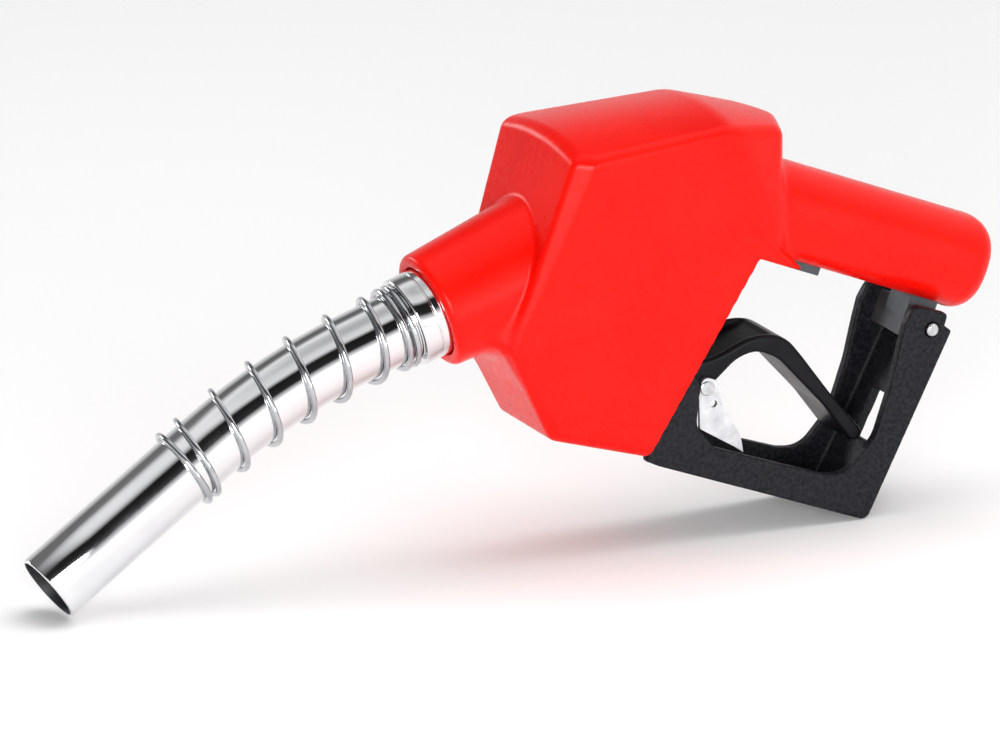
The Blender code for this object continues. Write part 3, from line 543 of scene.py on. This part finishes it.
def lever_form(u, y, w):
    side = np.abs(y)
    form = round_max(LEVER(u, w), side - LEVER_HALF_WIDTH, 1.3)
    channel = round_max(CHANNEL(u, w), side - CHANNEL_HALF_WIDTH, 1.0)
    form = round_max(form, -channel, 0.6)
    front = np.maximum(side - CHANNEL_HALF_WIDTH, np.abs(u + 22.5) - 9.5)
    front = np.maximum(front, np.abs(w - 2.5) - 7.5)
    form = round_max(form, -front, 0.4)
    form = round_max(form, 2.3 - np.hypot(u - PLUNGER_U, w - 7.0), 0.3)
    hinge = np.hypot(u - 32.0, w - 16.5)
    form = round_max(form, -np.maximum(hinge - 1.9, y + 8), 0.2)
    return round_max(form, -np.maximum(hinge - 3.2, y + 9.4), 0.2)


LEVER_STEP = 0.6
squeeze_lever = sculpt("squeeze_lever", lever_form, (-28, -13.5, -1), (100, 13.5, 43), LEVER_STEP)
place(squeeze_lever, "lever", "black_lever", "lever")

# ---- guard --------------------------------------------------------------------------------------

GUARD = outline_distance(fillet([
    (17, -11.9), (22, -12.3), (104.8, -10.7, 3), (110.9, 58.3, 0.8), (107.7, 59.2), (107.4, 63.4, 1.5),
    (94.5, 63.0, 3), (93.2, 56), (94.1, 48.6), (96.1, 35.4), (97, 17, 12), (91.5, 2.4, 10), (83, 0.3),
    (68.6, -0.4), (40, -1.2, 6), (30.8, 3.6, 6), (25.5, 20, 6), (-10, 24, 3), (-12, 36, 3), (-34, 36, 5),
    (-34, 22, 5), (-12, 0, 6), (14, -6.9), (16.7, -6.9)]))
WEB = outline_distance([
    (24, -12.0), (101.9, -10.5), (104.0, -7), (105.4, 9.5), (107.3, 31), (108.9, 49), (105.4, 49),
    (103.8, 31), (101.9, 9.5), (99.9, -5.5), (95.4, -7.2), (24, -8.4)])


def guard_form(u, y, w):
    y = np.abs(y)
    plates = round_max(GUARD(u, w), np.abs(y - 16.5) - 2.0, 0.8)
    web = round_max(WEB(u, w), y - 16, 0.5)
    form = soft_min(plates, web, 1.6)
    slot = np.maximum(np.maximum(np.abs(u - 105.5) - 6.5, y - 5.2), np.abs(w - 21.5) - 8.5)
    form = round_max(form, -slot, 0.5)
    form = round_max(form, 2.6 - np.hypot(u - 103.4, w - 56.8), 0.4)
    screw = np.hypot(u + 24, w - 29)
    form = round_max(form, 1.9 - screw, 0.2)
    return round_max(form, -np.maximum(screw - 3.5, 16.7 - y), 0.3)


GUARD_STEP = 0.8
guard = sculpt("moulded_guard", guard_form, (-36, -20, -14), (113, 20, 66), GUARD_STEP)
place(guard, "body", "black_guard", "lever_guard")

# ---- spout, spring and adaptor ------------------------------------------------------------------

bend = [SPOUT_UPPER + k * 2.4 for k in range(25)] + [SPOUT_TIP - 40, SPOUT_TIP - 20, 0, 15]
tube_profile = fillet([(-14.0, TUBE_BORE, 0.3), (-14.0, TUBE_RADIUS, 0.3), (SPOUT_TIP, TUBE_RADIUS, 0.55),
                       (SPOUT_TIP, TUBE_BORE, 0.4)], 4)
tube = revolved("chromed_spout", tube_profile, 96, bend)
place(tube, "body", "polished_tube", "spout_tube")
# The tube's inner faces, within the wall's radius, take the bore's near-black finish: painted shade inside
# the spout.
tube.data.materials.append(painted_shade_bore)
for face in tube.data.polygons:
    centre = STAND.inverted() @ face.center
    station = min(range(0, 160, 2), key=lambda s: (spout_point(s)[0] - centre).length)
    start, heading = spout_point(station)
    offset = centre - start
    if (offset - heading * offset.dot(heading)).length < 11.2:
        face.material_index = 1

adaptor_profile = fillet([
    (9.0, 12.35, 0.2), (9.0, 15.25, 0.7), (3.2, 15.25, 0.15), (3.0, 14.95, 0.1), (2.6, 14.95, 0.1),
    (2.4, 15.25, 0.15), (-17.7, 15.25, 0.4), (-17.7, 11.1, 0.2), (-22.0, 11.1), (-22.0, 9.9), (-24.4, 9.9),
    (-24.4, 11.1), (-30.0, 11.1, 0.3), (-30.0, 4.0, 0.3), (-28.0, 4.0, 0.3), (-28.0, 8.5), (-14.3, 8.5),
    (-14.3, 12.35)], 3)
adaptor = revolved("chromed_adaptor", adaptor_profile, 96)
place(adaptor, "body", "polished_tube", "spout_adaptor")

COIL_RADIUS = 13.45
WIRE_RADIUS = 1.0
COIL_TURNS = 8.6
POINTS_PER_TURN = 28
SPRING_START = 10.4
SPRING_PITCHES = [(0.0, 2.6), (1.1, 2.6), (2.5, 14.4), (7.0, 14.4), (7.8, 3.0), (8.6, 3.0)]


def spring_station(turn):
    """How far down the spout the wire is after so many turns."""
    station = SPRING_START
    for (before, low), (after, high) in zip(SPRING_PITCHES, SPRING_PITCHES[1:]):
        if turn <= before:
            break
        reached = min(turn, after)
        pitch = low + (high - low) * (reached - before) / (after - before)
        station += (reached - before) * (low + pitch) / 2
    return station


coil = []
for k in range(int(COIL_TURNS * POINTS_PER_TURN) + 1):
    turn = k / POINTS_PER_TURN
    centre, heading = spout_point(spring_station(turn))
    angle = math.radians(-64.5) - 2 * math.pi * turn
    outward = heading.cross(SIDEWAYS)
    coil.append(centre + COIL_RADIUS * (math.cos(angle) * SIDEWAYS + math.sin(angle) * outward))
spring = swept_wire("wire_spring", coil, WIRE_RADIUS, 14)
place(spring, "body", "bright_wire", "spout_spring")

# ---- the other CAD nodes: softened edges and their finishes -------------------------------------

REPLACED = {"body_cover", "lever", "lever_guard", "spout_tube", "spout_adaptor", "spout_spring"}
for name in sorted(set(nodes) - REPLACED):
    o = nodes[name]
    slot = o.data.materials[0].name.split(".")[0]
    finish = BY_SLOT.get(slot, steel)
    for k in range(len(o.data.materials)):
        o.material_slots[k].link = "OBJECT"
        o.material_slots[k].material = finish
    weld = o.modifiers.new("weld", "WELD")
    weld.merge_threshold = 0.00001
    soften = o.modifiers.new("soften", "BEVEL")
    soften.width = 0.00035 if name in ("body_casting", "hold_open_clip") else 0.0002
    soften.segments = 2
    soften.limit_method = "ANGLE"
    soften.angle_limit = math.radians(40)
    soften.harden_normals = False

# ---- floor, light and camera --------------------------------------------------------------------

bm = bmesh.new()
bmesh.ops.create_circle(bm, cap_ends=True, radius=6, segments=96)
floor_mesh = bpy.data.meshes.new("floor")
bm.to_mesh(floor_mesh)
bm.free()
floor = bpy.data.objects.new("floor", floor_mesh)
floor.location.z = -0.0002
bpy.context.scene.collection.objects.link(floor)
floor_look = Nodes("pale_floor")
shade = floor_look.between(floor_look.noise(1.5, 2.0), (0.86, 0.86, 0.86), (0.90, 0.90, 0.90))
floor_look.link(shade, floor_look.shader.inputs["Base Color"])
floor_look.shader.inputs["Emission Color"].default_value = (1, 1, 1, 1)
floor_look.shader.inputs["Emission Strength"].default_value = 0.07
floor_look.shader.inputs["Roughness"].default_value = 0.7
floor_look.shader.inputs["Specular IOR Level"].default_value = 0.1
floor_mesh.materials.append(floor_look.material)

world = bpy.data.worlds.new("studio")
bpy.context.scene.world = world
world.use_nodes = True
tree = world.node_tree
background = tree.nodes["Background"]
where = tree.nodes.new("ShaderNodeTexCoord")
parts = tree.nodes.new("ShaderNodeSeparateXYZ")
tree.links.new(where.outputs["Generated"], parts.inputs[0])


def ramp(stops):
    """Grey by the sine of the elevation."""
    made = tree.nodes.new("ShaderNodeValToRGB")
    lift = tree.nodes.new("ShaderNodeMapRange")
    lift.inputs["From Min"].default_value = -0.1
    lift.inputs["From Max"].default_value = 1.0
    tree.links.new(parts.outputs["Z"], lift.inputs["Value"])
    tree.links.new(lift.outputs["Result"], made.inputs["Fac"])
    elements = made.color_ramp.elements
    while len(elements) < len(stops):
        elements.new(0.5)
    for element, (degrees, grey) in zip(elements, stops):
        element.position = (math.sin(math.radians(degrees)) + 0.1) / 1.1
        element.color = (grey / 10, grey / 10, grey / 10, 1)
    return made.outputs["Color"]


def toward(azimuth, start, end):
    """1 near a compass direction, falling to 0."""
    flat = tree.nodes.new("ShaderNodeVectorMath")
    flat.operation = "MULTIPLY"
    flat.inputs[1].default_value = (1, 1, 0)
    tree.links.new(where.outputs["Generated"], flat.inputs[0])
    unit = tree.nodes.new("ShaderNodeVectorMath")
    unit.operation = "NORMALIZE"
    tree.links.new(flat.outputs[0], unit.inputs[0])
    dot = tree.nodes.new("ShaderNodeVectorMath")
    dot.operation = "DOT_PRODUCT"
    dot.inputs[1].default_value = (math.cos(math.radians(azimuth)), math.sin(math.radians(azimuth)), 0)
    tree.links.new(unit.outputs[0], dot.inputs[0])
    spread = tree.nodes.new("ShaderNodeMapRange")
    spread.interpolation_type = "SMOOTHSTEP"
    spread.inputs["From Min"].default_value = math.cos(math.radians(end))
    spread.inputs["From Max"].default_value = math.cos(math.radians(start))
    tree.links.new(dot.outputs["Value"], spread.inputs["Value"])
    return spread.outputs["Result"]


def mix(factor, one, two):
    """Colour two where the factor is 1, colour one where it is 0."""
    made = tree.nodes.new("ShaderNodeMix")
    made.data_type = "RGBA"
    tree.links.new(factor, made.inputs[0])
    tree.links.new(one, made.inputs[6])
    tree.links.new(two, made.inputs[7])
    return made.outputs[2]


back = ramp([(-5, 0.75), (14, 0.7), (36, 0.12), (50, 0.18), (62, 0.9), (72, 0.75), (90, 0.5)])
left = ramp([(-5, 0.12), (30, 0.12), (52, 0.18), (63, 0.9), (72, 0.75), (90, 0.5)])
front = ramp([(-5, 1.6), (9, 1.6), (15, 0.9), (27, 0.02), (50, 0.01), (60, 0.8), (72, 0.75), (90, 0.5)])
side = ramp([(-5, 0.8), (25, 0.8), (50, 1.6), (90, 0.6)])
rear_box = ramp([(-5, 0.1), (6, 0.1), (10, 9.0), (17, 9.0), (21, 0.15), (50, 0.18), (62, 0.9), (90, 0.5)])
sky = mix(toward(165, 35, 55), mix(toward(0, 30, 60), back, side), left)
sky = mix(toward(116, 7, 12), sky, rear_box)
sky = mix(toward(-98, 36, 58), sky, front)
tree.links.new(sky, background.inputs["Color"])
background.inputs["Strength"].default_value = 10.0


def area(name, position, aim, size, power, glossy=True):
    """Round softbox that the camera doesn't see."""
    light = bpy.data.lights.new(name, "AREA")
    light.shape = "DISK"
    light.size = size
    light.energy = power
    made = bpy.data.objects.new(name, light)
    made.location = position
    made.rotation_euler = (Vector(aim) - Vector(position)).to_track_quat("-Z", "Y").to_euler()
    made.visible_camera = False
    made.visible_glossy = glossy
    bpy.context.scene.collection.objects.link(made)


area("key", (-0.55, -1.04, 0.36), (0, 0, 0.08), 0.5, 8.5)
area("kicker", (0.42, -1.12, 0.12), (0, 0, 0.08), 0.2, 1.6)
area("fill", (0.5, -1.3, 0.7), (0, 0, 0.07), 1.0, 3, False)
area("top", (0.1, 0.1, 1.5), (0, 0, 0.05), 1.2, 9, False)

camera_data = bpy.data.cameras.new("camera")
camera_data.lens = 547.2
camera_data.sensor_width = 36
camera_data.clip_end = 100
camera = bpy.data.objects.new("camera", camera_data)
right = Vector((0.8988, -0.4384, 0.0038))
up = Vector((0.1242, 0.2628, 0.9568))
out = right.cross(up).normalized()
right = up.cross(out).normalized()
turn = Matrix((right, out.cross(right), out)).transposed().to_4x4()
camera.matrix_world = Matrix.Translation((-2.10597, -4.29761, 1.51458)) @ turn
bpy.context.scene.collection.objects.link(camera)
bpy.context.scene.camera = camera
bpy.context.scene.view_settings.view_transform = "Standard"
